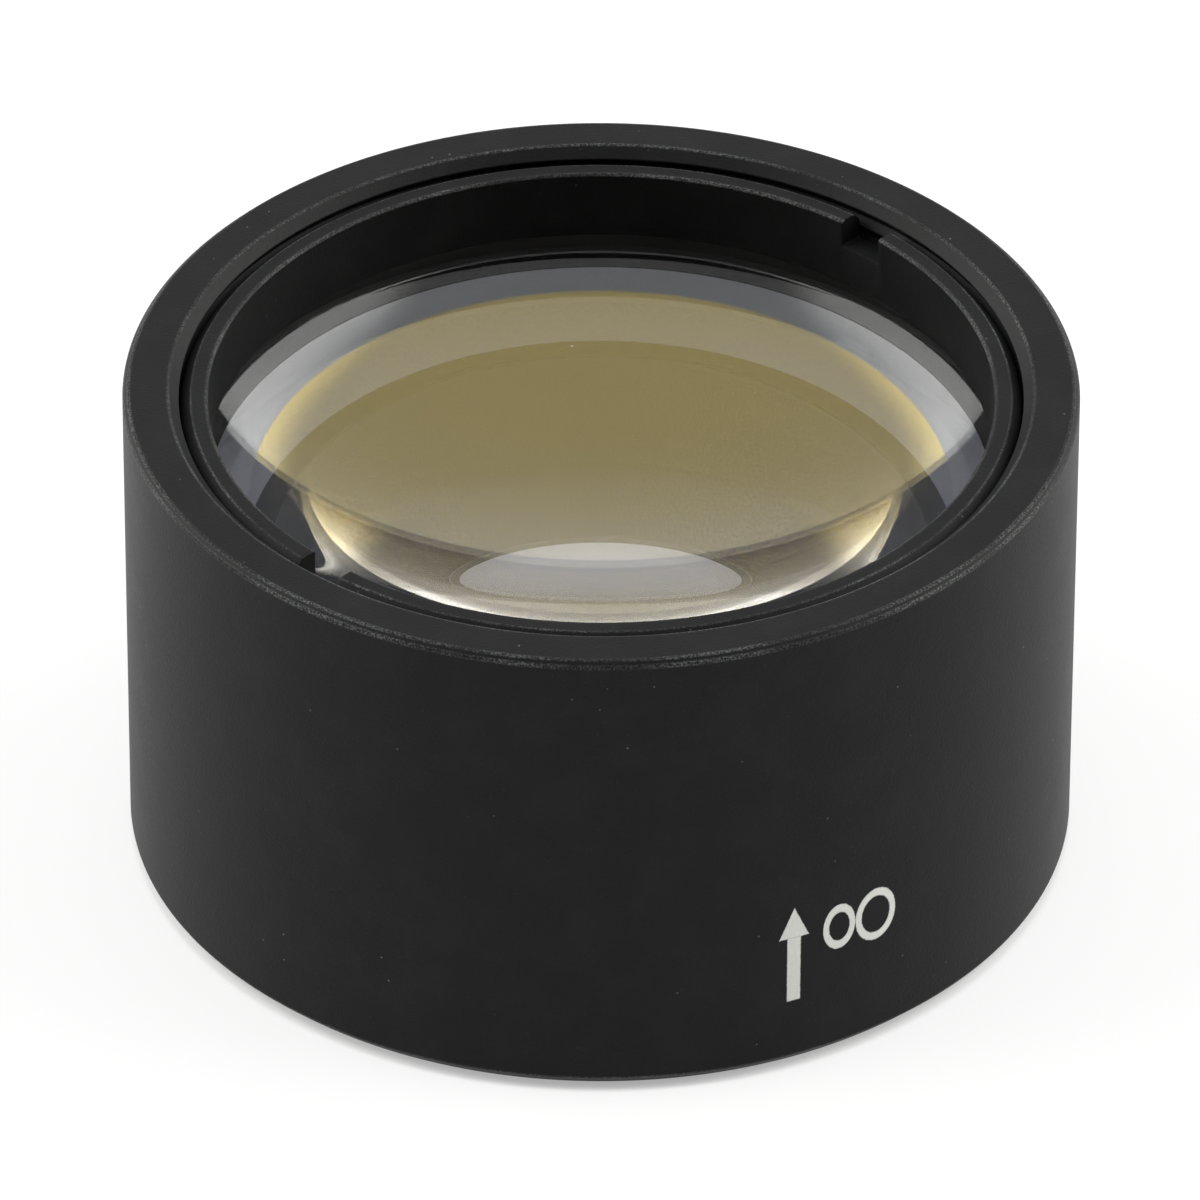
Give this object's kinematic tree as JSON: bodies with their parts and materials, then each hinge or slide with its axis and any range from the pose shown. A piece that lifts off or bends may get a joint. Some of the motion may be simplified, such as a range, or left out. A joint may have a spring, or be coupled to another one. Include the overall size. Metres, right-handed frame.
{
  "type": "achromatic doublet lens",
  "caption": "Air-spaced achromatic doublet lens in a black anodised round cell, with a slotted retaining ring over the front element.",
  "frame": {"origin": "centre of the cell's base face, on the optical axis", "axes": "+Z along the optical axis towards the retaining ring; -Y is the side that the picture looks from"},
  "size_m": [0.0254, 0.0254, 0.0139],
  "materials": {
    "cell_black": "bead-blasted, black anodised",
    "ring_black": "turned, black anodised",
    "spacer_black": "black anodised",
    "front_glass": "polished, anti-reflection coated",
    "rear_glass": "polished, anti-reflection coated"
  },
  "bodies": {
    "root": {"lens_housing": "cell_black", "retaining_ring": "ring_black", "front_lens": "front_glass", "spacer_ring": "spacer_black", "rear_lens": "rear_glass"}
  },
  "joints": []
}
